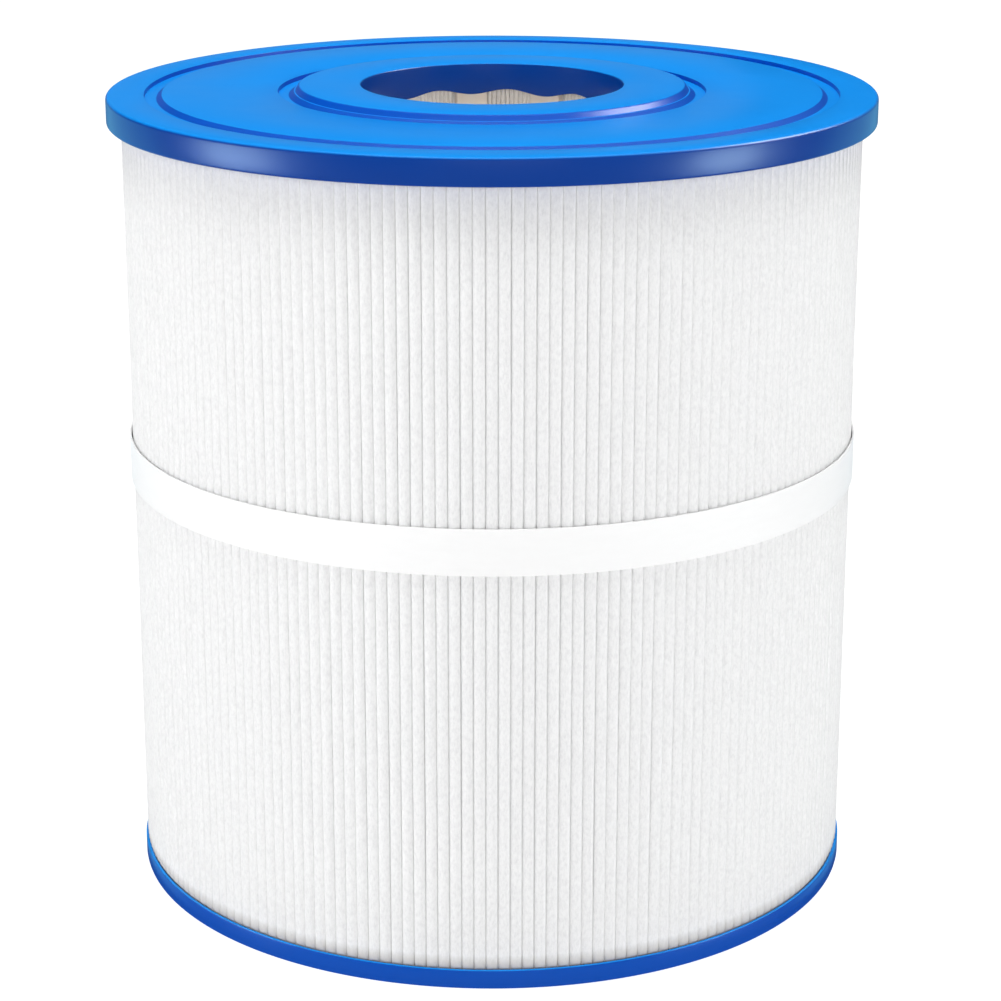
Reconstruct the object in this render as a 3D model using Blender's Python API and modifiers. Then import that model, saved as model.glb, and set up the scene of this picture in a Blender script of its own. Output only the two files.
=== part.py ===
"""Pleated pool and spa filter cartridge.

Two cast end caps hold a ring of pleated filter sheet round a windowed core, and a band round the middle
keeps the pleats evenly spaced. The frame's origin is the centre of the bottom face, with +Z up the axis
and +Y towards the back, where the sheet and the band are joined.
"""

import math

import bmesh
import bpy
from mathutils import Matrix, Vector

MM = 0.001

# Driving sizes, in metres
HEIGHT = 228.6 * MM  # 9 inches over the seal ring
FLANGE_RADIUS = 107.95 * MM  # 8 1/2 inches across
BODY_RADIUS = 104 * MM  # over the pleat tips
HOLE_RADIUS = 36.9 * MM
GAP = 0.3 * MM  # between pieces that touch
CUTTER_REACH = 3 * MM  # of a cutter past the faces that it cuts through
STEPS = 60  # flats round a turned piece
SHARP_ANGLE = math.radians(30)

# End caps
SEAL_RING_RISE = 1.6 * MM
FLANGE_THICK = 7.5 * MM
RIM_HEIGHT = 5.5 * MM
RIM_RADIUS = 104.6 * MM
POTTED_RADIUS = 103.6 * MM  # wall of the channel that holds the pleat ends
TOP_CHANNEL = 4 * MM  # depth of that channel in the top cap
BOTTOM_FLOOR = 2.5 * MM  # cap left under the channel in the bottom cap
COLLAR_WALL = 1.1 * MM
COLLAR_REACH = 10 * MM  # from the seal ring's face down inside the core
GROOVE_DEPTH = 1 * MM
OUTER_GROOVE = (92.6 * MM, 97.05 * MM)
INNER_GROOVE = (55.7 * MM, 59.8 * MM)
SEAL_RING_RADIUS = 54.3 * MM
SEAL_RING_DRAFT = 0.9 * MM
EDGE = 0.6 * MM  # rounding of the outer corners

# Core
CORE_OUTER = 41 * MM
CORE_INNER = 38.3 * MM
SECTIONS = ("core_section_lower", "core_section_middle", "core_section_upper")
SPIGOT = 3 * MM
SPIGOT_OUTER = 39.5 * MM
WINDOW_COLUMNS = 11
WINDOW_ROWS = 3
WINDOW_WIDTH = 13.5 * MM
WINDOW_HEIGHT = 20 * MM
WINDOW_ARCH = 2 * MM  # rise of the arched top
WINDOW_PITCH = 22.5 * MM
FIRST_WINDOW = 6 * MM  # sill of the lowest window above the section's lower end
CORE_STEPS = 4 * WINDOW_COLUMNS
HALF_FLAT = math.pi / CORE_STEPS
COLUMN_TURN = math.radians(-7.5)  # the window nearest the back stands this far round from it

# Pleated sheet
MEDIA_INNER = CORE_OUTER + GAP
SEAM_THICK = 0.4 * MM
SEAM_RADII = (84 * MM, 100 * MM)
BACK = math.pi / 2

# Band
BAND_BOTTOM = 117.7 * MM
BAND_HEIGHT = 12.7 * MM
BAND_THICK = 0.5 * MM
BAND_LAP = math.radians(15)
BAND_CLIMB = math.radians(10)
STRIP_FLAT = 2 * math.pi / STEPS
GLUE_THICK = 0.3 * MM
GLUE_INSET = 2 * MM  # from the edges of the band
GLUE_END = math.radians(2.5)  # from each end of the lap

# Levels worked out from the above
FACE = HEIGHT - SEAL_RING_RISE
FLANGE_BOTTOM = FACE - FLANGE_THICK
CHANNEL_TOP = FLANGE_BOTTOM + TOP_CHANNEL
PACK_BOTTOM = BOTTOM_FLOOR + GAP
PACK_TOP = CHANNEL_TOP - GAP
SECTION_PITCH = (PACK_TOP - PACK_BOTTOM - SPIGOT) / len(SECTIONS)


def clear_scene():
    for obj in list(bpy.data.objects):
        bpy.data.objects.remove(obj, do_unlink=True)


def new_collection(name):
    collection = bpy.data.collections.new(name)
    bpy.context.scene.collection.children.link(collection)
    return collection


def material(name, colour, roughness, coat=0.0):
    made = bpy.data.materials.new(name)
    made.use_nodes = True
    shader = made.node_tree.nodes["Principled BSDF"]
    shader.inputs["Base Color"].default_value = (*colour, 1)
    shader.inputs["Roughness"].default_value = roughness
    shader.inputs["Metallic"].default_value = 0
    shader.inputs["Coat Weight"].default_value = coat
    return made


def add_object(name, mesh, collection, skin=None):
    obj = bpy.data.objects.new(name, mesh)
    collection.objects.link(obj)
    if skin:
        mesh.materials.clear()
        mesh.materials.append(skin)
    return obj


def outline_mesh(name, points):
    """A closed outline in the XZ plane, for a Screw modifier to turn."""
    bm = bmesh.new()
    corners = [bm.verts.new((radius, 0, height)) for radius, height in points]
    for start, end in zip(corners, corners[1:] + corners[:1]):
        bm.edges.new((start, end))
    mesh = bpy.data.meshes.new(name)
    bm.to_mesh(mesh)
    bm.free()
    return mesh


def turned(name, points, collection, skin, steps=STEPS):
    """A ring turned from an outline that runs down its outer side."""
    guide = add_object(name + "_outline", outline_mesh(name, points), collection)
    screw = guide.modifiers.new("Turn", "SCREW")
    screw.axis = "Z"
    screw.angle = 2 * math.pi
    screw.steps = steps
    screw.render_steps = steps
    screw.use_merge_vertices = True
    screw.merge_threshold = 0.01 * MM
    mesh = bpy.data.meshes.new_from_object(guide.evaluated_get(bpy.context.evaluated_depsgraph_get()))
    bpy.data.objects.remove(guide, do_unlink=True)
    mesh.name = name
    mesh.shade_smooth()
    mesh.set_sharp_from_angle(angle=SHARP_ANGLE)
    return add_object(name, mesh, collection, skin)


def groove(radii, floor, top):
    """Corners of a square groove, from its inner edge to its outer one."""
    inner, outer = radii
    return [(inner, top), (inner, floor), (outer, floor), (outer, top)]


def top_cap_outline():
    seal_foot = SEAL_RING_RADIUS + SEAL_RING_DRAFT
    collar = HOLE_RADIUS + COLLAR_WALL
    mouth = [(HOLE_RADIUS, HEIGHT - EDGE), (HOLE_RADIUS + EDGE, HEIGHT)]
    face = mouth + [(SEAL_RING_RADIUS, HEIGHT), (seal_foot, FACE)]
    face += groove(INNER_GROOVE, FACE - GROOVE_DEPTH, FACE)
    face += groove(OUTER_GROOVE, FACE - GROOVE_DEPTH, FACE)
    flange = [
        (FLANGE_RADIUS - EDGE, FACE),
        (FLANGE_RADIUS, FACE - EDGE),
        (FLANGE_RADIUS, FLANGE_BOTTOM),
        (POTTED_RADIUS, FLANGE_BOTTOM),
    ]
    channel = [(POTTED_RADIUS, CHANNEL_TOP), (collar, CHANNEL_TOP)]
    lip = [(collar, HEIGHT - COLLAR_REACH), (HOLE_RADIUS, HEIGHT - COLLAR_REACH)]
    return face + flange + channel + lip


def bottom_cap_outline():
    collar = HOLE_RADIUS + COLLAR_WALL
    lip = [(HOLE_RADIUS, RIM_HEIGHT), (collar, RIM_HEIGHT), (collar, BOTTOM_FLOOR)]
    rim = [
        (POTTED_RADIUS, BOTTOM_FLOOR),
        (POTTED_RADIUS, RIM_HEIGHT),
        (RIM_RADIUS, RIM_HEIGHT),
        (RIM_RADIUS, EDGE),
        (RIM_RADIUS - EDGE, 0),
    ]
    underside = groove(INNER_GROOVE, GROOVE_DEPTH, 0)[::-1]
    return lip + rim + underside + [(HOLE_RADIUS + EDGE, 0), (HOLE_RADIUS, EDGE)]


def section_outline():
    """One core section, with a spigot on top and the socket for the next one's spigot underneath."""
    body_top = SECTION_PITCH - GAP
    socket_radius = SPIGOT_OUTER + GAP
    return [
        (CORE_INNER, SECTION_PITCH + SPIGOT - GAP),
        (SPIGOT_OUTER, SECTION_PITCH + SPIGOT - GAP),
        (SPIGOT_OUTER, body_top),
        (CORE_OUTER, body_top),
        (CORE_OUTER, 0),
        (socket_radius, 0),
        (socket_radius, SPIGOT),
        (CORE_INNER, SPIGOT),
    ]


def arched_outline(width, height, rise, segments=4):
    """A window outline with its sill at height 0 and a shallow arch on top."""
    half = width / 2
    radius = (half * half + rise * rise) / (2 * rise)
    swing = math.asin(half / radius)
    points = [Vector((-half, 0)), Vector((half, 0))]
    for step in range(segments + 1):
        angle = swing - 2 * swing * step / segments
        points.append(Vector((radius * math.sin(angle), height - radius + radius * math.cos(angle))))
    return points


def window_mesh(name):
    """One closed prism for each window of a section, all in one mesh."""
    bm = bmesh.new()
    inside = CORE_INNER - CUTTER_REACH
    outline = arched_outline(WINDOW_WIDTH, WINDOW_HEIGHT, WINDOW_ARCH)
    for column in range(WINDOW_COLUMNS):
        turn = Matrix.Rotation(2 * math.pi * column / WINDOW_COLUMNS, 3, "Z")
        through = turn @ Vector((CORE_OUTER - CORE_INNER + 2 * CUTTER_REACH, 0, 0))
        for row in range(WINDOW_ROWS):
            sill = FIRST_WINDOW + row * WINDOW_PITCH
            ring = [bm.verts.new(turn @ Vector((inside, across, sill + up))) for across, up in outline]
            face = bm.faces.new(ring)
            extruded = bmesh.ops.extrude_face_region(bm, geom=[face], use_keep_orig=True)["geom"]
            moved = [part for part in extruded if isinstance(part, bmesh.types.BMVert)]
            bmesh.ops.translate(bm, verts=moved, vec=through)
    bmesh.ops.recalc_face_normals(bm, faces=bm.faces)
    mesh = bpy.data.meshes.new(name)
    bm.to_mesh(mesh)
    bm.free()
    return mesh


def hidden_cutter(obj):
    obj.hide_render = True
    obj.display_type = "WIRE"
    return obj


def cut(obj, cutter):
    boolean = obj.modifiers.new("Cut " + cutter.name, "BOOLEAN")
    boolean.operation = "DIFFERENCE"
    boolean.solver = "EXACT"
    boolean.object = cutter
    return obj


def media_outline():
    return [
        (MEDIA_INNER, PACK_TOP),
        (POTTED_RADIUS - GAP, PACK_TOP),
        (POTTED_RADIUS - GAP, FLANGE_BOTTOM - GAP),
        (BODY_RADIUS, FLANGE_BOTTOM - GAP),
        (BODY_RADIUS, RIM_HEIGHT + GAP),
        (POTTED_RADIUS - GAP, RIM_HEIGHT + GAP),
        (POTTED_RADIUS - GAP, PACK_BOTTOM),
        (MEDIA_INNER, PACK_BOTTOM),
    ]


def block(name, radii, thick, levels, collection, skin=None):
    """An upright slab at the back, standing between two radii and two levels."""
    bm = bmesh.new()
    size = Vector((thick, radii[1] - radii[0], levels[1] - levels[0]))
    middle = Vector((0, sum(radii) / 2, sum(levels) / 2))
    bmesh.ops.create_cube(bm, size=1, matrix=Matrix.LocRotScale(middle, None, size))
    mesh = bpy.data.meshes.new(name)
    bm.to_mesh(mesh)
    bm.free()
    return add_object(name, mesh, collection, skin)


def strip(name, turn, radius_at, thick, levels, collection, skin):
    """A thin upright strip bent round the axis, from one angle of turn to the other."""
    bm = bmesh.new()
    flats = round((turn[1] - turn[0]) / STRIP_FLAT)
    last = None
    for number in range(flats + 1):
        angle = turn[0] + (turn[1] - turn[0]) * number / flats
        out = Vector((math.cos(angle), math.sin(angle), 0)) * radius_at(angle)
        pair = [bm.verts.new(out + Vector((0, 0, level))) for level in levels]
        if last:
            bm.faces.new((last[0], pair[0], pair[1], last[1]))
        last = pair
    mesh = bpy.data.meshes.new(name)
    bm.to_mesh(mesh)
    bm.free()
    mesh.shade_smooth()
    obj = add_object(name, mesh, collection, skin)
    solid = obj.modifiers.new("Thickness", "SOLIDIFY")
    solid.thickness = thick
    solid.offset = 1
    return obj


def band_radius(angle):
    """The band's inner face lies on the pleats, and its last stretch climbs over its first."""
    climb = BAND_THICK + GLUE_THICK + 2 * GAP
    done = (angle - (BACK + 2 * math.pi - BAND_LAP)) / BAND_CLIMB
    return BODY_RADIUS + GAP + climb * min(max(done, 0), 1)


def glue_radius(angle):
    """The glue lies on the band's first stretch all along."""
    return band_radius(BACK) + BAND_THICK + GAP


def build():
    clear_scene()
    cartridge = new_collection("filter_cartridge")
    cutters = new_collection("cutters")

    urethane = material("blue_urethane", (0.004, 0.13, 0.62), 0.28, 0.3)
    moulded = material("cream_moulding", (0.78, 0.72, 0.62), 0.5)
    fibre = material("white_polyester", (0.86, 0.86, 0.86), 0.9)
    strap = material("white_strap", (0.93, 0.93, 0.93), 0.4)
    glue = material("clear_amber_glue", (0.75, 0.66, 0.45), 0.35)

    turned("top_end_cap", top_cap_outline(), cartridge, urethane)
    turned("bottom_end_cap", bottom_cap_outline(), cartridge, urethane)

    windows = window_mesh("core_windows")
    for number, name in enumerate(SECTIONS):
        section = turned(name, section_outline(), cartridge, moulded, CORE_STEPS)
        section.location.z = PACK_BOTTOM + number * SECTION_PITCH
        section.rotation_euler.z = BACK + COLUMN_TURN - HALF_FLAT
        cutter = hidden_cutter(add_object("windows_of_" + name, windows, cutters))
        cutter.parent = section
        cutter.rotation_euler.z = HALF_FLAT  # a flat of the wall is centred on each window
        cut(section, cutter)

    media = turned("pleated_media", media_outline(), cartridge, fibre)
    slot_radii = (SEAM_RADII[0] - GAP, BODY_RADIUS + CUTTER_REACH)
    slot_levels = (-CUTTER_REACH, HEIGHT + CUTTER_REACH)
    slot = block("seam_slot", slot_radii, SEAM_THICK + 2 * GAP, slot_levels, cutters)
    cut(media, hidden_cutter(slot))
    bead_levels = (PACK_BOTTOM + GAP, PACK_TOP - GAP)
    block("media_seam_bead", SEAM_RADII, SEAM_THICK, bead_levels, cartridge, glue)

    band_levels = (BAND_BOTTOM, BAND_BOTTOM + BAND_HEIGHT)
    band_turn = (BACK, BACK + 2 * math.pi + BAND_LAP)
    strip("retaining_band", band_turn, band_radius, BAND_THICK, band_levels, cartridge, strap)
    glue_levels = (band_levels[0] + GLUE_INSET, band_levels[1] - GLUE_INSET)
    glue_turn = (BACK + GLUE_END, BACK + BAND_LAP - GLUE_END)
    strip("band_glue_patch", glue_turn, glue_radius, GLUE_THICK, glue_levels, cartridge, glue)


build()
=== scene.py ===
# %% [markdown]
# # A pleated filter cartridge
#
# A pool or spa filter cartridge is one long sheet of white polyester felt, folded into about two hundred
# upright pleats and bent into a ring. Two cast urethane caps hold the ends of the pleats, a moulded core
# keeps them from falling inwards, and a strap round the middle keeps them evenly spaced.
#
# The solid model gives the sizes and places. This script makes the surfaces that the eye sees: the folds,
# the soft edges of the castings, and the finish of each material.

# %% Load the solid model
import math

import bmesh
import bpy
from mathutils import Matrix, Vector, noise


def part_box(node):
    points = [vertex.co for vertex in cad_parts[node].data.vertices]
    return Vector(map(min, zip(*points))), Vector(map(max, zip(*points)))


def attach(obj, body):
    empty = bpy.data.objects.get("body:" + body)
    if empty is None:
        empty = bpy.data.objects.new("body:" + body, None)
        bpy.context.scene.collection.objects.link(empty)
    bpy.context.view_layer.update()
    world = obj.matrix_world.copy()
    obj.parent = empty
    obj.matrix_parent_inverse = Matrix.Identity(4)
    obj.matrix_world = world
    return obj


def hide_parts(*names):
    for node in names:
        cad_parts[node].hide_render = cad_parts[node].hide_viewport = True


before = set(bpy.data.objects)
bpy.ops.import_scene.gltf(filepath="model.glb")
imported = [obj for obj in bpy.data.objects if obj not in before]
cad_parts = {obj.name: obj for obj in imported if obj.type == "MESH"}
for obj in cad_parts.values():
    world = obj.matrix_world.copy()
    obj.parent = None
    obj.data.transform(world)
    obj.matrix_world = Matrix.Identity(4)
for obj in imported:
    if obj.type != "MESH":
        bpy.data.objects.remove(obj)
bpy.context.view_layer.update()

MM = 0.001
NEAR = 0.1 * MM  # closer than this counts as the same level or radius
TOUCHING = 0.01 * MM  # closer than this counts as the same point
FULL_TURN = 2 * math.pi
BACK = math.pi / 2  # the +Y side, away from the camera

# %% [markdown]
# ## Sizes read from the solid model
#
# Every level and radius comes from the boxes of the solid pieces, so nothing here can drift away from
# them. Only the small features that a box can't show, such as the grooves, are listed.

# %% Levels and radii
TOP_LOW, TOP_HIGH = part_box("top_end_cap")
RIM_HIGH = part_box("bottom_end_cap")[1]
PACK_LOW, PACK_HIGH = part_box("pleated_media")
BAND_LOW, BAND_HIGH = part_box("retaining_band")
CORE_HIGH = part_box("core_section_lower")[1]
CORE_NAMES = ("core_section_lower", "core_section_middle", "core_section_upper")

HEIGHT = TOP_HIGH[2]
COLLAR_BOTTOM = TOP_LOW[2]
FLANGE_RADIUS = TOP_HIGH[0]
RIM_RADIUS = RIM_HIGH[0]
RIM_TOP = RIM_HIGH[2]
BODY_RADIUS = PACK_HIGH[0]
PACK_BOTTOM = PACK_LOW[2]
PACK_TOP = PACK_HIGH[2]
print(f"height {HEIGHT * 1000:.1f} mm, flange {2 * FLANGE_RADIUS * 1000:.1f} mm across")
print(f"pleats {2 * BODY_RADIUS * 1000:.1f} mm across")
print(f"pleats from {PACK_BOTTOM * 1000:.1f} to {PACK_TOP * 1000:.1f} mm up")

# %% Small features, in metres
GAP = 0.3 * MM  # clearance between one piece and the next
SEAL_RISE = 1.6 * MM
FACE = HEIGHT - SEAL_RISE
FLANGE_THICK = 7.5 * MM
FLANGE_BOTTOM = FACE - FLANGE_THICK
CHANNEL_TOP = PACK_TOP + GAP
CHANNEL_FLOOR = PACK_BOTTOM - GAP
POTTED_RADIUS = 103.6 * MM
HOLE_RADIUS = 36.9 * MM
COLLAR_RADIUS = 38 * MM
GROOVE_DEPTH = 1.2 * MM
OUTER_GROOVE = (92.4 * MM, 97.3 * MM)
INNER_GROOVE = (55.6 * MM, 60.1 * MM)
GROOVE_SLOPE = 1.5 * MM  # how far a groove's inner side runs out as it goes down
SEAL_RADIUS = 54.3 * MM
SEAL_FOOT = 55.2 * MM
CAP_STEPS = 240  # flats round a cap

# %% [markdown]
# ## Camera
#
# The cartridge is seen from in front and a little above, so that the top shows as a flat oval and the
# middle band as a gentle curve. A long lens from most of a metre away keeps the sides nearly upright.

# %% Place the camera
CAMERA_AWAY = 0.785
CAMERA_UP = 0.3505
CAMERA_PITCH = math.radians(17.33)
SENSOR = 36.0
LENS = 100.5
SIDE_SHIFT = 0.0085


def make_camera():
    data = bpy.data.cameras.new("camera")
    data.sensor_width = SENSOR
    data.lens = LENS
    data.shift_x = SIDE_SHIFT
    data.clip_end = 50
    camera = bpy.data.objects.new("camera", data)
    bpy.context.scene.collection.objects.link(camera)
    camera.location = (0, -CAMERA_AWAY, CAMERA_UP)
    camera.rotation_euler = (math.pi / 2 - CAMERA_PITCH, 0, 0)
    bpy.context.scene.camera = camera


make_camera()
print(f"camera {CAMERA_AWAY:.3f} m in front and {CAMERA_UP:.3f} m up, {LENS:.0f} mm lens")

# %% [markdown]
# ## Floor and lights
#
# White goods are often shot on a table that glows by itself, so that they stand on clean white with no
# hard shadow. The table here is a plane that mostly emits and reflects little, and it looks a little
# brighter than it shines. It is left out of glossy reflections, because a mirror image of the table would
# turn the deep blue walls milky.

# %% Floor
FLOOR_HALF = 12.0
FLOOR_DROP = 0.2 * MM  # keeps it clear of the cap's underside
FLOOR_WHITE = 0.35
FLOOR_GLOW = 0.62  # what it lends the cartridge
FLOOR_SEEN = 0.95  # what the camera sees of it


def make_floor():
    bm = bmesh.new()
    bmesh.ops.create_grid(bm, x_segments=1, y_segments=1, size=FLOOR_HALF)
    bmesh.ops.translate(bm, verts=bm.verts, vec=(0, 0, -FLOOR_DROP))
    mesh = bpy.data.meshes.new("floor")
    bm.to_mesh(mesh)
    bm.free()
    floor = bpy.data.objects.new("floor", mesh)
    bpy.context.scene.collection.objects.link(floor)
    floor.visible_glossy = False
    paint = bpy.data.materials.new("lit_white_table")
    paint.use_nodes = True
    shader = paint.node_tree.nodes["Principled BSDF"]
    shader.inputs["Base Color"].default_value = (FLOOR_WHITE, FLOOR_WHITE, FLOOR_WHITE, 1)
    shader.inputs["Roughness"].default_value = 0.9
    shader.inputs["Specular IOR Level"].default_value = 0.1
    shader.inputs["Emission Color"].default_value = (1, 1, 1, 1)
    glow = paint.node_tree.nodes.new("ShaderNodeMapRange")
    glow.inputs["To Min"].default_value = FLOOR_GLOW
    glow.inputs["To Max"].default_value = FLOOR_SEEN
    seen = paint.node_tree.nodes.new("ShaderNodeLightPath")
    paint.node_tree.links.new(seen.outputs["Is Camera Ray"], glow.inputs["Value"])
    paint.node_tree.links.new(glow.outputs["Result"], shader.inputs["Emission Strength"])
    mesh.materials.append(paint)


make_floor()

# %% [markdown]
# The room lights the piece from above and is dim near the horizon. A glossy face that is seen at a shallow
# angle mirrors the horizon, so a dim one keeps the blue rich. The backdrop that shows behind the cartridge
# is plain white all the same, as if it stood too far off to be mirrored.

# %% Surround
HORIZON = 0.02
HORIZON_ENDS = 0.45  # the room brightens above this rise, where straight up is 1
ZENITH = 0.45
BACKDROP = 1.0


def make_surround():
    world = bpy.data.worlds.new("white_room")
    bpy.context.scene.world = world
    world.use_nodes = True
    tree = world.node_tree
    direction = tree.nodes.new("ShaderNodeTexCoord")
    parts = tree.nodes.new("ShaderNodeSeparateXYZ")
    tree.links.new(direction.outputs["Generated"], parts.inputs["Vector"])
    rise = tree.nodes.new("ShaderNodeMapRange")
    rise.inputs["From Min"].default_value = HORIZON_ENDS
    rise.inputs["From Max"].default_value = 1.0
    rise.inputs["To Min"].default_value = HORIZON
    rise.inputs["To Max"].default_value = ZENITH
    tree.links.new(parts.outputs["Z"], rise.inputs["Value"])
    sky = tree.nodes["Background"]
    sky.inputs["Color"].default_value = (1, 1, 1, 1)
    seen = tree.nodes.new("ShaderNodeLightPath")
    shown = tree.nodes.new("ShaderNodeMapRange")
    shown.inputs["To Max"].default_value = BACKDROP
    tree.links.new(seen.outputs["Is Camera Ray"], shown.inputs["Value"])
    tree.links.new(rise.outputs["Result"], shown.inputs["To Min"])
    tree.links.new(shown.outputs["Result"], sky.inputs["Strength"])


make_surround()

# %% [markdown]
# Soft panels do the rest. Some only fill: they light the felt and are left out of reflections. Others only
# show as reflections: they draw a long soft highlight on each side of the glossy flange, one catches the
# rounded edges from high on the right, a dim card behind whitens the far part of the top face, and two
# teal ones brighten the ends of the flange's wall. Keeping the two jobs apart lets each be set by itself,
# as a photographer does with flags and black cards.

# %% Soft panels
COOL = (0.66, 0.93, 1.0)
TEAL = (0.22, 0.75, 1.0)
AIM_HEIGHT = HEIGHT * 0.6


def panel(name, bearing, away, height, size, brightness, job, tint=(1, 1, 1)):
    """A soft panel that faces the cartridge. Its bearing is in degrees to the right of the front."""
    data = bpy.data.lights.new(name, "AREA")
    data.shape = "RECTANGLE"
    data.size, data.size_y = size
    data.energy = brightness * math.pi * size[0] * size[1]
    data.color = tint
    light = bpy.data.objects.new(name, data)
    bpy.context.scene.collection.objects.link(light)
    turn = math.radians(bearing)
    light.location = (away * math.sin(turn), -away * math.cos(turn), height)
    aim = Vector((0, 0, AIM_HEIGHT)) - light.location
    light.rotation_euler = aim.to_track_quat("-Z", "Y").to_euler()
    light.visible_camera = False
    light.visible_glossy = job != "fill"
    light.visible_diffuse = job != "gloss"


panel("overhead_panel", 0, 0.05, 1.5, (1.1, 1.1), 4.8, "fill")
panel("front_fill", 4, 1.5, 0.45, (0.9, 0.6), 4.0, "fill")
panel("left_fill", -76, 1.1, 0.3, (0.5, 0.7), 4.0, "fill")
panel("right_fill", 76, 1.1, 0.3, (0.5, 0.7), 2.6, "fill")
panel("left_strip", -72, 0.6, 0.12, (0.24, 0.2), 15.5, "gloss", COOL)
panel("right_strip", 65, 0.6, 0.12, (0.2, 0.2), 17.0, "gloss", COOL)
panel("right_high_panel", 98, 0.8, 0.78, (0.6, 0.5), 18.0, "gloss")
panel("back_card", -165, 0.5, 0.26, (0.5, 0.14), 0.14, "gloss")
panel("left_back_card", -131, 0.7, 0, (0.6, 0.5), 1.1, "gloss", TEAL)
panel("right_back_card", 131, 0.7, 0, (0.6, 0.5), 1.1, "gloss", TEAL)

# %% [markdown]
# Felt lets some light through, so the inside of the cartridge is brighter than its shadows alone would
# make it. A small soft lamp in the bore stands for that light.

# %% Lamp in the bore
BORE_LAMP_WATTS = 0.027
BORE_LAMP_RADIUS = 15 * MM
BORE_LAMP_LEVEL = 0.8 * HEIGHT
BORE_LAMP_TINT = (1.0, 0.90, 0.76)


def make_bore_lamp():
    data = bpy.data.lights.new("bore_lamp", "POINT")
    data.shadow_soft_size = BORE_LAMP_RADIUS
    data.energy = BORE_LAMP_WATTS
    data.color = BORE_LAMP_TINT
    lamp = bpy.data.objects.new("bore_lamp", data)
    bpy.context.scene.collection.objects.link(lamp)
    lamp.location = (0, 0, BORE_LAMP_LEVEL)
    lamp.visible_camera = False
    lamp.visible_glossy = False


make_bore_lamp()

# %% Colour handling
bpy.context.scene.view_settings.view_transform = "Standard"
bpy.context.scene.view_settings.look = "None"
print("a glowing table, a dim horizon, ten soft panels and a lamp in the bore")

# %% [markdown]
# ## Finishes
#
# Each material is built from nodes on object coordinates, which are metres here, so a noise scale is the
# number of blotches in a metre. The helpers below each add one kind of node and return its output.

# %% Node helpers


def new_material(name):
    made = bpy.data.materials.new(name)
    made.use_nodes = True
    return made, made.node_tree, made.node_tree.nodes["Principled BSDF"]


def add_node(tree, kind, **settings):
    node = tree.nodes.new(kind)
    for setting, value in settings.items():
        setattr(node, setting, value)
    return node


def set_or_link(tree, socket, value):
    """Links a socket to another one, or gives it a plain value."""
    if isinstance(value, bpy.types.NodeSocket):
        tree.links.new(value, socket)
    else:
        socket.default_value = value


def noise_node(tree, source, scale, detail=3.0, roughness=0.55, stretch=(1, 1, 1)):
    """A noise on object coordinates, stretched along any axis."""
    mapping = add_node(tree, "ShaderNodeMapping")
    mapping.inputs["Scale"].default_value = stretch
    tree.links.new(source, mapping.inputs["Vector"])
    grain = add_node(tree, "ShaderNodeTexNoise")
    grain.inputs["Scale"].default_value = scale
    grain.inputs["Detail"].default_value = detail
    grain.inputs["Roughness"].default_value = roughness
    tree.links.new(mapping.outputs["Vector"], grain.inputs["Vector"])
    return grain.outputs["Fac"]


def ramp_node(tree, factor, stops):
    """A colour ramp with (place, colour) stops."""
    ramp = add_node(tree, "ShaderNodeValToRGB")
    elements = ramp.color_ramp.elements
    while len(elements) < len(stops):
        elements.new(0.5)
    for element, (place, colour) in zip(elements, stops):
        element.position = place
        element.color = (*colour, 1)
    tree.links.new(factor, ramp.inputs["Fac"])
    return ramp.outputs["Color"]


def range_node(tree, factor, from_low, from_high, to_low, to_high):
    mapped = add_node(tree, "ShaderNodeMapRange")
    mapped.inputs["From Min"].default_value = from_low
    mapped.inputs["From Max"].default_value = from_high
    set_or_link(tree, mapped.inputs["To Min"], to_low)
    set_or_link(tree, mapped.inputs["To Max"], to_high)
    tree.links.new(factor, mapped.inputs["Value"])
    return mapped.outputs["Result"]


def mix_values(tree, factor, first, second):
    mix = add_node(tree, "ShaderNodeMix")
    for socket, value in zip((mix.inputs[0], mix.inputs[2], mix.inputs[3]), (factor, first, second)):
        set_or_link(tree, socket, value)
    return mix.outputs[0]


def mix_colours(tree, factor, first, second):
    mix = add_node(tree, "ShaderNodeMix", data_type="RGBA")
    colours = [socket for socket in mix.inputs if socket.type == "RGBA"]
    for socket, value in ((mix.inputs[0], factor), (colours[0], first), (colours[1], second)):
        set_or_link(tree, socket, value)
    return next(socket for socket in mix.outputs if socket.type == "RGBA")


def bump_node(tree, height, distance, strength=1.0):
    bump = add_node(tree, "ShaderNodeBump")
    bump.inputs["Distance"].default_value = distance
    bump.inputs["Strength"].default_value = strength
    tree.links.new(height, bump.inputs["Height"])
    return bump.outputs["Normal"]


# %% [markdown]
# ### Blue cast urethane
#
# The caps are poured in an open mould. Their colour is painted by which way a surface faces: the faces
# that look up are painted a bright lit azure with a soft gloss, and the walls a deeper, more saturated
# painted shade. A faint cloudiness and an uneven gloss keep the large face from looking like flat paint.
# The walls of the shallow ridges and grooves of the top face, and of the thin rim of the lower cap, are
# painted a shade lighter than the thick flange's wall, as painted light. The lower cap's underside takes
# the lit face colour too.

# %% Blue urethane
# Painted light and shade: up-facing surfaces are painted a lit azure, steep walls a shaded deep blue.
LIT_FACE_BLUE = (0.002, 0.293, 0.895)
LIT_FACE_BLUE_PALE = (0.003, 0.305, 0.915)
SHADED_WALL_BLUE = (0.000, 0.043, 0.300)
SHADED_WALL_BLUE_PALE = (0.000, 0.047, 0.315)
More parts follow.
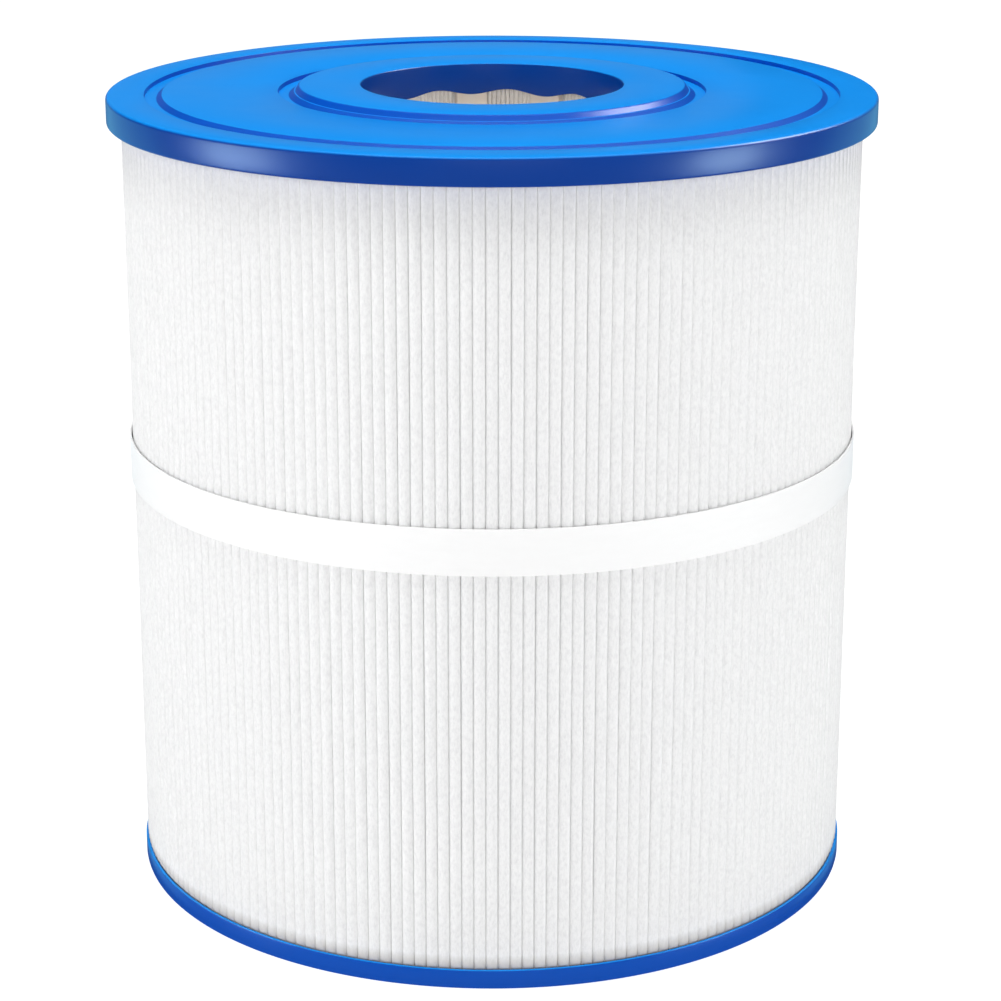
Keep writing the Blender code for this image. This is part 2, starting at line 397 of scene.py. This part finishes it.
# Painted light: the walls of the grooves, the seal ring and the lower cap's rim are painted lighter than
# the flange wall.
LIT_GROOVE_WALL_BLUE = (0.000, 0.088, 0.520)
LIT_RIM_BLUE = (0.000, 0.078, 0.490)
RELIEF_STARTS = (45 * MM, 50 * MM)  # the grooves and the seal ring's wall lie between these radii
RELIEF_ENDS = (98.5 * MM, 100 * MM)
RIM_FADES = 5 * MM  # how far above the lower cap its painted lighter blue would fade out
STEEP = 0.4  # a surface whose normal rises less than this is all wall
SLOPED = 0.86  # the same for the ridges and grooves
NEARLY_LEVEL = 0.97  # a surface whose normal rises more than this is all face
LEVEL = 0.99  # the same for the ridges and grooves
CLOUD = 20
GLOSS_PATCHES = 40
GLOSS_RANGE = (0.285, 0.33)


def make_urethane():
    made, tree, shader = new_material("blue_cast_urethane")
    where = add_node(tree, "ShaderNodeTexCoord").outputs["Object"]
    cloud = noise_node(tree, where, CLOUD, detail=2)
    face = ramp_node(tree, cloud, ((0.3, LIT_FACE_BLUE), (0.7, LIT_FACE_BLUE_PALE)))
    wall = ramp_node(tree, cloud, ((0.3, SHADED_WALL_BLUE), (0.7, SHADED_WALL_BLUE_PALE)))
    place = add_node(tree, "ShaderNodeSeparateXYZ")
    tree.links.new(where, place.inputs["Vector"])
    flat = add_node(tree, "ShaderNodeVectorMath", operation="MULTIPLY")
    flat.inputs[1].default_value = (1, 1, 0)
    tree.links.new(where, flat.inputs[0])
    out = add_node(tree, "ShaderNodeVectorMath", operation="LENGTH")
    tree.links.new(flat.outputs["Vector"], out.inputs[0])
    past_hole = range_node(tree, out.outputs["Value"], *RELIEF_STARTS, 0, 1)
    in_relief = range_node(tree, out.outputs["Value"], *RELIEF_ENDS, past_hole, 0)
    low = range_node(tree, place.outputs["Z"], RIM_TOP, RIM_TOP + RIM_FADES, 1, 0)
    # Painted light: groove and seal-ring walls, then the lower rim, get a lighter painted blue.
    wall = mix_colours(tree, in_relief, wall, (*LIT_GROOVE_WALL_BLUE, 1))
    wall = mix_colours(tree, low, wall, (*LIT_RIM_BLUE, 1))
    # Painted light and shade: how far the normal rises picks the painted lit face colour or the painted
    # shaded wall colour.
    facing = add_node(tree, "ShaderNodeSeparateXYZ")
    tree.links.new(add_node(tree, "ShaderNodeNewGeometry").outputs["Normal"], facing.inputs["Vector"])
    lit_face_share = range_node(tree, facing.outputs["Z"], STEEP, NEARLY_LEVEL, 0, 1)
    level = range_node(tree, facing.outputs["Z"], SLOPED, LEVEL, 0, 1)
    lit_face_share = mix_values(tree, in_relief, lit_face_share, level)
    downward = range_node(tree, facing.outputs["Z"], -SLOPED, -LEVEL, 0, low)
    faces = mix_values(tree, downward, lit_face_share, 1)
    tree.links.new(mix_colours(tree, faces, wall, face), shader.inputs["Base Color"])
    patches = noise_node(tree, where, GLOSS_PATCHES, detail=2)
    rough = range_node(tree, patches, 0.3, 0.7, *GLOSS_RANGE)
    tree.links.new(rough, shader.inputs["Roughness"])
    shader.inputs["Specular IOR Level"].default_value = 0.25
    return made


urethane = make_urethane()

# %% [markdown]
# ### White polyester felt
#
# The sheet is spunbonded: endless fibres laid at random and pressed flat. From close up it shows fine
# short strokes and a mottled weight, a little greyer where the fibres are thin. It has no gloss, only the
# slight sheen of fibre ends. Just above the lower cap the felt is painted darker and warmer, a painted
# shade where it meets the cap.

# %% Polyester felt
FELT_WHITE = (0.92, 0.92, 0.92)
FELT_THIN = (0.82, 0.82, 0.825)
# Painted shade: the felt is painted a darker warm grey just above the lower cap.
FELT_CAP_SHADE = (0.55, 0.52, 0.49)
CAP_SHADE_HEIGHT = 4 * MM
MOTTLE = 1300
STROKES = 2600
FELT_RELIEF = 0.12 * MM


def make_felt():
    made, tree, shader = new_material("white_spunbond_felt")
    where = add_node(tree, "ShaderNodeTexCoord").outputs["Object"]
    mottle = noise_node(tree, where, MOTTLE, detail=3, roughness=0.6, stretch=(1, 1, 0.6))
    strokes = noise_node(tree, where, STROKES, detail=3, roughness=0.7, stretch=(1, 1, 0.25))
    weight = mix_colours(tree, 0.5, mottle, strokes)
    shade = ramp_node(tree, weight, ((0.34, FELT_THIN), (0.56, FELT_WHITE)))
    height = add_node(tree, "ShaderNodeSeparateXYZ")
    tree.links.new(where, height.inputs["Vector"])
    # Painted shade, fading out upwards from the lower cap.
    painted_cap_shade = range_node(tree, height.outputs["Z"], RIM_TOP, RIM_TOP + CAP_SHADE_HEIGHT, 1, 0)
    felt_with_cap_shade = mix_colours(tree, painted_cap_shade, shade, (*FELT_CAP_SHADE, 1))
    tree.links.new(felt_with_cap_shade, shader.inputs["Base Color"])
    tree.links.new(bump_node(tree, weight, FELT_RELIEF, strength=0.8), shader.inputs["Normal"])
    shader.inputs["Roughness"].default_value = 0.95
    shader.inputs["Specular IOR Level"].default_value = 0.15
    shader.inputs["Sheen Weight"].default_value = 0.15
    shader.inputs["Sheen Roughness"].default_value = 0.5
    return made


felt = make_felt()

# %% [markdown]
# ### Strap, core and glue
#
# The strap is smooth white plastic tape with a satin skin. The core is moulded in a cream plastic that
# shows faint flow marks along its ribs. The hot-melt glue is amber and slightly see-through.

# %% Strap, core and glue
STRAP_WHITE = (0.985, 0.985, 0.985)
STRAP_SHADE = (0.97, 0.97, 0.97)
CREAM = (0.86, 0.81, 0.74)
CREAM_SHADE = (0.78, 0.72, 0.65)
AMBER = (0.62, 0.46, 0.20)
AMBER_PALE = (0.72, 0.57, 0.30)
SKIN_GRAIN = 1800


def make_satin(name, light, shade, roughness, scale, stretch, bump, gloss=0.12, see_through=0.0):
    """A smooth moulded or extruded plastic with faint streaks."""
    made, tree, shader = new_material(name)
    where = add_node(tree, "ShaderNodeTexCoord").outputs["Object"]
    streaks = noise_node(tree, where, scale, detail=4, stretch=stretch)
    tree.links.new(ramp_node(tree, streaks, ((0.35, shade), (0.65, light))), shader.inputs["Base Color"])
    fine = noise_node(tree, where, SKIN_GRAIN, detail=2)
    rough = range_node(tree, fine, 0.3, 0.7, roughness - 0.05, roughness + 0.05)
    tree.links.new(rough, shader.inputs["Roughness"])
    tree.links.new(bump_node(tree, fine, bump), shader.inputs["Normal"])
    shader.inputs["Specular IOR Level"].default_value = gloss
    shader.inputs["Transmission Weight"].default_value = see_through
    return made


strap_white = make_satin("white_satin_strap", STRAP_WHITE, STRAP_SHADE, 0.6, 120, (1, 1, 4), 0.004 * MM)
cream = make_satin("cream_moulded_core", CREAM, CREAM_SHADE, 0.5, 90, (1, 1, 0.3), 0.01 * MM)
amber = make_satin(
    "amber_hot_melt", AMBER, AMBER_PALE, 0.3, 300, (1, 1, 1), 0.05 * MM, gloss=0.5, see_through=0.3)
print("five finishes made")

# %% [markdown]
# ## Turned castings
#
# Both caps are rings, so each is an outline in the plane of the axis, spun once round with its two ends
# joined. The outline has square corners. A bevel afterwards rounds only the edges that run round the ring
# and turn sharply, which is how a real mould is made too: cut square, then its corners eased.

# %% Helpers for rings
SHARP_EDGE = math.radians(30)  # an edge that turns further than this can be eased


def distance_out(point):
    return math.hypot(point.x, point.y)


def in_grooves(radius):
    """Whether this radius lies between the seal ring's foot and the outer groove's far side."""
    return SEAL_FOOT - NEAR < radius < OUTER_GROOVE[1] + NEAR


def in_collar(radius):
    """Whether this radius lies in the thin wall round the hole."""
    return radius < COLLAR_RADIUS + MM


def finish_mesh(bm, name, skin, sharp_degrees=35):
    """Makes the bmesh an object at the origin, smooth except at sharp edges."""
    mesh = bpy.data.meshes.new(name)
    bm.to_mesh(mesh)
    bm.free()
    mesh.materials.append(skin)
    mesh.shade_smooth()
    mesh.set_sharp_from_angle(angle=math.radians(sharp_degrees))
    piece = bpy.data.objects.new(name, mesh)
    bpy.context.scene.collection.objects.link(piece)
    print(f"{name}: {len(mesh.polygons)} faces")
    return piece


def spin_outline(outline, steps):
    """A closed outline of (radius, height) points, spun once round the axis."""
    bm = bmesh.new()
    corners = [bm.verts.new((radius, 0, height)) for radius, height in outline]
    edges = [bm.edges.new(pair) for pair in zip(corners, corners[1:] + corners[:1])]
    bmesh.ops.spin(
        bm, geom=corners + edges, cent=(0, 0, 0), axis=(0, 0, 1), dvec=(0, 0, 0),
        angle=FULL_TURN, steps=steps, use_merge=True, use_duplicate=False)
    bmesh.ops.remove_doubles(bm, verts=bm.verts, dist=TOUCHING / 10)
    bmesh.ops.recalc_face_normals(bm, faces=bm.faces)
    return bm


def ring_edges(bm, wanted):
    """The sharp edges that run round the axis and whose radius and height wanted() accepts."""
    found = []
    for edge in bm.edges:
        start, end = edge.verts[0].co, edge.verts[1].co
        level = abs(start.z - end.z) < TOUCHING
        round_axis = abs(distance_out(start) - distance_out(end)) < TOUCHING
        if level and round_axis and edge.calc_face_angle(0) > SHARP_EDGE:
            if wanted(distance_out(start), start.z):
                found.append(edge)
    return found


def ease(bm, edges, width, segments):
    """Rounds these edges."""
    bmesh.ops.bevel(
        bm, geom=edges, affect="EDGES", offset=width, offset_type="OFFSET",
        segments=segments, profile=0.5, material=-1, clamp_overlap=True)


def groove(radii, floor, top):
    """A groove with a sloping inner side and a steep outer wall."""
    inner, outer = radii
    return [(inner, top), (inner + GROOVE_SLOPE, floor), (outer, floor), (outer, top)]


# %% [markdown]
# ### Top end cap
#
# From the hole outwards: a raised seal ring with a drafted wall, a groove at its foot, the wide flat face,
# a second groove near the rim, and the hanging flange. Underneath is the channel that the pleats stand in.
# The collar inside the hole ends in a wavy edge, because the resin creeps up a little at each window of
# the core and hangs down at each rib before it sets.

# %% Top end cap
WAVE = 0.75 * MM
WANDER = 0.25 * MM  # how far the wave itself strays
COLLAR_EDGE = COLLAR_BOTTOM + 1.5 * MM  # the middle level of the wave
WAVE_REACH = 3 * MM  # how far up the hole's wall the wave dies away
FLANGE_EASE = 0.9 * MM
FLANGE_FOOT_EASE = 0.6 * MM
SEAL_EASE = 0.45 * MM
GROOVE_EASE = 0.1 * MM
COLLAR_EASE = 0.4 * MM
WINDOW_COLUMNS = 11
WINDOW_TURN = BACK + math.radians(-7.5)


def collar_wave(point):
    """How far the collar's edge is raised at this point: up at a window, down at a rib."""
    turn = math.atan2(point.y, point.x) - WINDOW_TURN
    wander = noise.noise(point * 40) * WANDER
    return WAVE * math.cos(WINDOW_COLUMNS * turn) + wander


def make_top_cap():
    outline = [(HOLE_RADIUS, HEIGHT), (SEAL_RADIUS, HEIGHT), (SEAL_FOOT, FACE)]
    outline += groove(INNER_GROOVE, FACE - GROOVE_DEPTH, FACE)
    outline += groove(OUTER_GROOVE, FACE - GROOVE_DEPTH, FACE)
    outline += [(FLANGE_RADIUS, FACE), (FLANGE_RADIUS, FLANGE_BOTTOM)]
    outline += [(POTTED_RADIUS, FLANGE_BOTTOM), (POTTED_RADIUS, CHANNEL_TOP)]
    outline += [(COLLAR_RADIUS, CHANNEL_TOP), (COLLAR_RADIUS, COLLAR_EDGE)]
    outline += [(HOLE_RADIUS, COLLAR_EDGE), (HOLE_RADIUS, COLLAR_EDGE + WAVE_REACH)]
    bm = spin_outline(outline, CAP_STEPS)
    flange = ring_edges(bm, lambda radius, level: radius > FLANGE_RADIUS - MM and level > FACE - MM)
    ease(bm, flange, FLANGE_EASE, 4)
    flange = ring_edges(bm, lambda radius, level: radius > FLANGE_RADIUS - MM and level < FACE - MM)
    ease(bm, flange, FLANGE_FOOT_EASE, 3)
    ease(bm, ring_edges(bm, lambda radius, level: level > HEIGHT - NEAR), SEAL_EASE, 3)
    depth = GROOVE_DEPTH + NEAR
    grooves = ring_edges(bm, lambda radius, level: in_grooves(radius) and abs(level - FACE) < depth)
    ease(bm, grooves, GROOVE_EASE, 2)
    collar = ring_edges(bm, lambda radius, level: in_collar(radius) and level < COLLAR_EDGE + NEAR)
    ease(bm, collar, COLLAR_EASE, 3)
    for vert in bm.verts:
        if in_collar(distance_out(vert.co)) and vert.co.z < COLLAR_EDGE + COLLAR_EASE + NEAR:
            vert.co.z += collar_wave(vert.co)
    return finish_mesh(bm, "top_cap_casting", urethane)


top_cap = make_top_cap()

# %% [markdown]
# ### Bottom end cap
#
# The lower cap is a shallow tray of the same resin with the same hole. Its thin rim grips the feet of the
# pleats, and shows as a narrow blue line round the bottom. Its underside repeats the inner groove, which
# marks off the ring that seals on the filter housing.

# %% Bottom end cap
RIM_EASE = 0.3 * MM
FOOT_EASE = 0.6 * MM
UNDERSIDE_EASE = 0.25 * MM


def make_bottom_cap():
    outline = [(HOLE_RADIUS, RIM_TOP), (COLLAR_RADIUS, RIM_TOP), (COLLAR_RADIUS, CHANNEL_FLOOR)]
    outline += [(POTTED_RADIUS, CHANNEL_FLOOR), (POTTED_RADIUS, RIM_TOP)]
    outline += [(RIM_RADIUS, RIM_TOP), (RIM_RADIUS, 0)]
    outline += groove(INNER_GROOVE, GROOVE_DEPTH, 0)[::-1]
    outline += [(HOLE_RADIUS, 0)]
    bm = spin_outline(outline, CAP_STEPS)
    rim = ring_edges(bm, lambda radius, level: radius > POTTED_RADIUS - MM and level > RIM_TOP - NEAR)
    ease(bm, rim, RIM_EASE, 2)
    foot = ring_edges(bm, lambda radius, level: radius > POTTED_RADIUS - MM and level < NEAR)
    ease(bm, foot, FOOT_EASE, 3)
    groove_floor = GROOVE_DEPTH + NEAR
    seal = ring_edges(bm, lambda radius, level: radius < INNER_GROOVE[1] + NEAR and level < groove_floor)
    ease(bm, seal, UNDERSIDE_EASE, 2)
    collar = ring_edges(bm, lambda radius, level: in_collar(radius) and level > RIM_TOP - NEAR)
    ease(bm, collar, RIM_EASE, 2)
    return finish_mesh(bm, "bottom_cap_casting", urethane)


bottom_cap = make_bottom_cap()

# %% [markdown]
# ## The pleated sheet
#
# One pleat is a narrow loop: a broad round nose outside, two long walls that close in towards the axis,
# and half a small fold at each inner end, where it joins its neighbours. Only half of that line is drawn.
# A mirror makes the other half, a spin copies the pleat two hundred times, and the line is then drawn up
# the axis by extruding it level by level. The felt's real thickness comes from Solidify, so the piece is
# a folded sheet.

# %% Pleat sizes
PLEATS = 200
PLEAT_TURN = FULL_TURN / PLEATS
FELT_THICK = 0.5 * MM
NOSE_HALF = 1.37 * MM  # half the width of the rounded nose
NOSE_DEPTH = 0.75 * MM  # how far its shoulders stand back
NOSE_STEPS = 5
NOSE_RADIUS = BODY_RADIUS - FELT_THICK / 2
FOLD_RADIUS = CORE_HIGH[0] + GAP + FELT_THICK / 2
NECK_HALF = 0.86 * MM  # half the pleat's width behind its nose
NECK_DEPTH = 4 * MM


def half_pleat():
    """(across, out) points of half a pleat's middle line, from its nose to the inner fold's middle."""
    points = []
    for step in range(NOSE_STEPS + 1):
        angle = math.pi / 2 * step / NOSE_STEPS
        stand_back = NOSE_DEPTH * (1 - math.cos(angle))
        points.append((NOSE_HALF * math.sin(angle), NOSE_RADIUS - stand_back))
    points.append((NECK_HALF, NOSE_RADIUS - NECK_DEPTH))
    fold_half = FOLD_RADIUS * math.tan(PLEAT_TURN / 2)
    points.append((fold_half * 0.42, FOLD_RADIUS + 1.2 * MM))
    points.append((fold_half * 0.5, FOLD_RADIUS + 0.12 * MM))
    points.append((fold_half, FOLD_RADIUS))
    return points


# %% One pleat, mirrored, then spun into a ring


def ring_of_pleats():
    """The middle line of the whole sheet, seen from above."""
    bm = bmesh.new()
    points = [bm.verts.new((across, out, PACK_BOTTOM)) for across, out in half_pleat()]
    edges = [bm.edges.new(pair) for pair in zip(points, points[1:])]
    bmesh.ops.mirror(bm, geom=points + edges, axis="X", merge_dist=TOUCHING / 10)
    bmesh.ops.spin(
        bm, geom=bm.verts[:] + bm.edges[:], cent=(0, 0, 0), axis=(0, 0, 1), dvec=(0, 0, 0),
        angle=FULL_TURN, steps=PLEATS, use_merge=False, use_duplicate=True)
    bmesh.ops.remove_doubles(bm, verts=bm.verts, dist=TOUCHING)
    return bm


def draw_up(bm, levels):
    """Extrudes the line from level to level."""
    edges = bm.edges[:]
    below = levels[0]
    for level in levels[1:]:
        raised = bmesh.ops.extrude_edge_only(bm, edges=edges)["geom"]
        verts = [part for part in raised if isinstance(part, bmesh.types.BMVert)]
        edges = [part for part in raised if isinstance(part, bmesh.types.BMEdge)]
        bmesh.ops.translate(bm, verts=verts, vec=(0, 0, level - below))
        below = level


# %% [markdown]
# Real pleats are never quite even. Each nose leans a fraction of a millimetre to one side and stands a
# little in or out, and drifts slowly on its way up. The band and the caps hold them, so under the band
# none stands out, and at the caps only a quarter of the drift is left. Inside the caps' channels the
# noses are squeezed to the channel's radius.

# %% Uneven pleats
LEAN = 0.07 * MM
STAND = 0.22 * MM
HELD_REACH = 25 * MM  # how far from a cap a pleat becomes free
HELD_LEAST = 0.25  # what is left of the drift at the caps
BAND_REACH = 12 * MM


def held(height):
    """How free a pleat is at this height: least at the caps, 1 in the long stretches between them."""
    from_cap = min(height - RIM_TOP, FLANGE_BOTTOM - height)
    return min(max(from_cap / HELD_REACH, HELD_LEAST), 1)


def pressed(height):
    """How much of its standing out a pleat keeps: none under the band."""
    from_band = max(BAND_LOW[2] - height, height - BAND_HIGH[2], 0)
    return min(from_band / BAND_REACH, 1)


def settle(point):
    """Where a point of the even ring lies on the real, uneven one."""
    out = distance_out(point)
    turn = math.atan2(point.y, point.x)
    share = max((out - FOLD_RADIUS) / (NOSE_RADIUS - FOLD_RADIUS), 0) ** 2
    pleat = round(turn / PLEAT_TURN) % PLEATS
    along = point.z * 9
    lean = noise.noise(Vector((pleat * 7.31, along, 0.5))) * LEAN * held(point.z)
    stand = noise.noise(Vector((pleat * 3.17, along * 0.6, 9.5))) - 0.25
    out += stand * STAND * share * pressed(point.z) * held(point.z)
    turn += lean * share / out
    if point.z < RIM_TOP + NEAR or point.z > FLANGE_BOTTOM - NEAR:
        out = min(out, POTTED_RADIUS - GAP - FELT_THICK / 2)
    return Vector((out * math.cos(turn), out * math.sin(turn), point.z))


# %% The whole sheet


def pleat_levels():
    """Levels closest together where the pleats change most: at the caps and the band."""
    lower = [PACK_BOTTOM, RIM_TOP, RIM_TOP + 0.9 * MM, 30 * MM, 60 * MM, 90 * MM]
    upper = [BAND_LOW[2], BAND_HIGH[2], 155 * MM, 185 * MM]
    under_flange = [FLANGE_BOTTOM - 0.9 * MM, FLANGE_BOTTOM, PACK_TOP]
    return lower + upper + under_flange


def make_pleats():
    bm = ring_of_pleats()
    draw_up(bm, pleat_levels())
    for vert in bm.verts:
        vert.co = settle(vert.co)
    bmesh.ops.recalc_face_normals(bm, faces=bm.faces)
    piece = finish_mesh(bm, "folded_felt", felt, sharp_degrees=80)
    wall = piece.modifiers.new("Felt thickness", "SOLIDIFY")
    wall.thickness = FELT_THICK
    wall.offset = 0
    wall.use_rim = True
    return piece


pleats = make_pleats()


# %% [markdown]
# ## The band
#
# The strap is a flat ribbon, so it starts as a flat grid and is bent round the pleats. It goes once round
# and a little more: at the back its last stretch climbs over its first and is glued down there.

# %% Band
BAND_THICK = 0.5 * MM
BAND_INNER = BODY_RADIUS + GAP
BAND_LAP = math.radians(15)
BAND_CLIMB = math.radians(10)
LAP_RISE = 1.4 * MM


def band_radius(turned):
    """The ribbon's inner radius after it has turned this far from its start."""
    climbed = (turned - (FULL_TURN - BAND_LAP)) / BAND_CLIMB
    step = min(max(climbed, 0), 1)
    return BAND_INNER + LAP_RISE * step * step * (3 - 2 * step)


def make_band():
    bm = bmesh.new()
    bmesh.ops.create_grid(bm, x_segments=250, y_segments=6, size=0.5)
    height = BAND_HIGH[2] - BAND_LOW[2]
    for vert in bm.verts:
        turned = (vert.co.x + 0.5) * (FULL_TURN + BAND_LAP)
        level = BAND_LOW[2] + (vert.co.y + 0.5) * height
        out = band_radius(turned)
        angle = BACK + turned
        vert.co = Vector((out * math.cos(angle), out * math.sin(angle), level))
    bmesh.ops.recalc_face_normals(bm, faces=bm.faces)
    piece = finish_mesh(bm, "wound_strap", strap_white)
    wall = piece.modifiers.new("Strap thickness", "SOLIDIFY")
    wall.thickness = BAND_THICK
    wall.offset = 1
    edges = piece.modifiers.new("Soft edges", "BEVEL")
    edges.width = 0.12 * MM
    edges.segments = 2
    edges.limit_method = "ANGLE"
    edges.angle_limit = math.radians(50)
    return piece


band = make_band()

# %% [markdown]
# ## The core
#
# The core is a stack of three identical mouldings that plug into one another. Each one is a tube with
# three rows of arched windows. It starts as a grid rolled into a tube, the window faces are deleted, and
# the rest is extruded inwards to give the wall. The two ends are then stepped: a spigot on top and a
# socket underneath. The top row of windows runs up behind the cap's collar, where no arch shows, so the
# uppermost moulding is cut open there and only its ribs stand in the resin.

# %% Core sizes
CORE_OUTER = CORE_HIGH[0]
CORE_INNER = 38.3 * MM
SPIGOT_OUTER = 39.5 * MM
SPIGOT = 3 * MM
SECTION_PITCH = (PACK_TOP - PACK_BOTTOM - SPIGOT) / len(CORE_NAMES)
SECTION_TOP = SECTION_PITCH - GAP
WINDOW_WIDTH = 13.5 * MM
WINDOW_ARCH = 2 * MM
WINDOW_SILLS = (6 * MM, 28.5 * MM, 51 * MM)
WINDOW_HEIGHT = 20 * MM
WINDOW_FLATS = 8  # segments across one window
HALF_WINDOW = math.asin(WINDOW_WIDTH / 2 / CORE_OUTER)
HALF_COLUMN = math.pi / WINDOW_COLUMNS

# %% One core section


def core_turn(column):
    """The turn of a grid column round the axis, and its turn from the middle of its window."""
    step = column % (WINDOW_FLATS + 2)
    window = column // (WINDOW_FLATS + 2)
    if step == 0:
        within = -HALF_COLUMN
    else:
        within = -HALF_WINDOW + 2 * HALF_WINDOW * (step - 1) / WINDOW_FLATS
    return WINDOW_TURN + window * 2 * HALF_COLUMN + within, within


def arch_drop(within):
    """How far the arched top is below its crown at this turn from the window's middle."""
    across = min(abs(within) / HALF_WINDOW, 1)
    return WINDOW_ARCH * across * across


def core_levels():
    levels = [0]
    for sill in WINDOW_SILLS:
        levels += [sill, sill + WINDOW_HEIGHT]
    return levels + [SECTION_TOP]


def rolled_grid(bm, open_top):
    """A tube of the section's outer face, with the windows left out. The top row can run out at the top."""
    levels = core_levels()
    columns = WINDOW_COLUMNS * (WINDOW_FLATS + 2)
    rows = len(levels) - 1
    bmesh.ops.create_grid(bm, x_segments=columns, y_segments=rows, size=0.5)
    open_faces = []
    for face in bm.faces:
        middle = face.calc_center_median()
        column = int((middle.x + 0.5) * columns) % (WINDOW_FLATS + 2)
        row = int((middle.y + 0.5) * rows)
        in_window = row % 2 == 1 or (open_top and row == rows - 1)
        if in_window and 1 <= column <= WINDOW_FLATS:
            open_faces.append(face)
    bmesh.ops.delete(bm, geom=open_faces, context="FACES")
    for vert in bm.verts:
        row = round((vert.co.y + 0.5) * rows)
        turn, within = core_turn(round((vert.co.x + 0.5) * columns))
        level = levels[row]
        if row % 2 == 0 and 0 < row < rows:
            level -= arch_drop(within)
        vert.co = Vector((CORE_OUTER * math.cos(turn), CORE_OUTER * math.sin(turn), level))
    bmesh.ops.remove_doubles(bm, verts=bm.verts, dist=TOUCHING)


def move_to(vert, out, level):
    """Moves a point straight out or in to a radius, and to a level."""
    scale = out / distance_out(vert.co)
    vert.co = Vector((vert.co.x * scale, vert.co.y * scale, level))


def end_edges(bm, level):
    """The short edges through the wall at one end."""
    return [edge for edge in bm.edges
            if all(abs(vert.co.z - level) < TOUCHING for vert in edge.verts)
            and abs(distance_out(edge.verts[0].co) - distance_out(edge.verts[1].co)) > MM]


def step_end(bm, level, step_radius, step_level):
    """Splits an end face in three and pulls it into a step."""
    middle = (CORE_INNER + CORE_OUTER) / 2
    bmesh.ops.subdivide_edges(bm, edges=end_edges(bm, level), cuts=2, use_grid_fill=True)
    for vert in bm.verts:
        if abs(vert.co.z - level) > TOUCHING:
            continue
        out = distance_out(vert.co)
        if out > CORE_OUTER - NEAR:
            continue
        if out > middle:
            move_to(vert, step_radius, level)
        elif out > CORE_INNER + NEAR:
            move_to(vert, step_radius, step_level)
        else:
            move_to(vert, CORE_INNER, step_level)


def make_core_section(name, base, open_top):
    bm = bmesh.new()
    rolled_grid(bm, open_top)
    bmesh.ops.recalc_face_normals(bm, faces=bm.faces)
    inner = bmesh.ops.extrude_face_region(bm, geom=bm.faces[:], use_keep_orig=True)["geom"]
    for vert in [part for part in inner if isinstance(part, bmesh.types.BMVert)]:
        move_to(vert, CORE_INNER, vert.co.z)
    step_end(bm, SECTION_TOP, SPIGOT_OUTER, SECTION_TOP + SPIGOT)
    step_end(bm, 0, SPIGOT_OUTER + GAP, SPIGOT)
    bmesh.ops.recalc_face_normals(bm, faces=bm.faces)
    bmesh.ops.translate(bm, verts=bm.verts, vec=(0, 0, base))
    piece = finish_mesh(bm, name, cream)
    edges = piece.modifiers.new("Soft edges", "BEVEL")
    edges.width = 0.3 * MM
    edges.segments = 2
    edges.limit_method = "ANGLE"
    edges.angle_limit = math.radians(40)
    return piece


core = [
    make_core_section(f"core_moulding_{number}", PACK_BOTTOM + (number - 1) * SECTION_PITCH, number == 3)
    for number in (1, 2, 3)
]

# %% [markdown]
# ## Hidden glue
#
# The seam bead inside one pleat and the patch under the band's lap keep their plain solid shapes, because
# almost nothing of them shows. They only get the glue's finish.

# %% Glue finish on the solid pieces
for node in ("media_seam_bead", "band_glue_patch"):
    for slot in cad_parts[node].material_slots:
        slot.material = amber

# %% [markdown]
# ## Attaching the pieces
#
# Every new piece rides on the one rigid body, and the solid piece that it stands for is hidden.

STANDS_FOR = (
    (top_cap, "top_end_cap", "blue_urethane"),
    (bottom_cap, "bottom_end_cap", "blue_urethane"),
    (pleats, "pleated_media", "white_polyester"),
    (band, "retaining_band", "white_strap"),
    (core[0], "core_section_lower", "cream_moulding"),
    (core[1], "core_section_middle", "cream_moulding"),
    (core[2], "core_section_upper", "cream_moulding"),
)
for piece, node, material_slot in STANDS_FOR:
    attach(piece, "root")
    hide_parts(node)
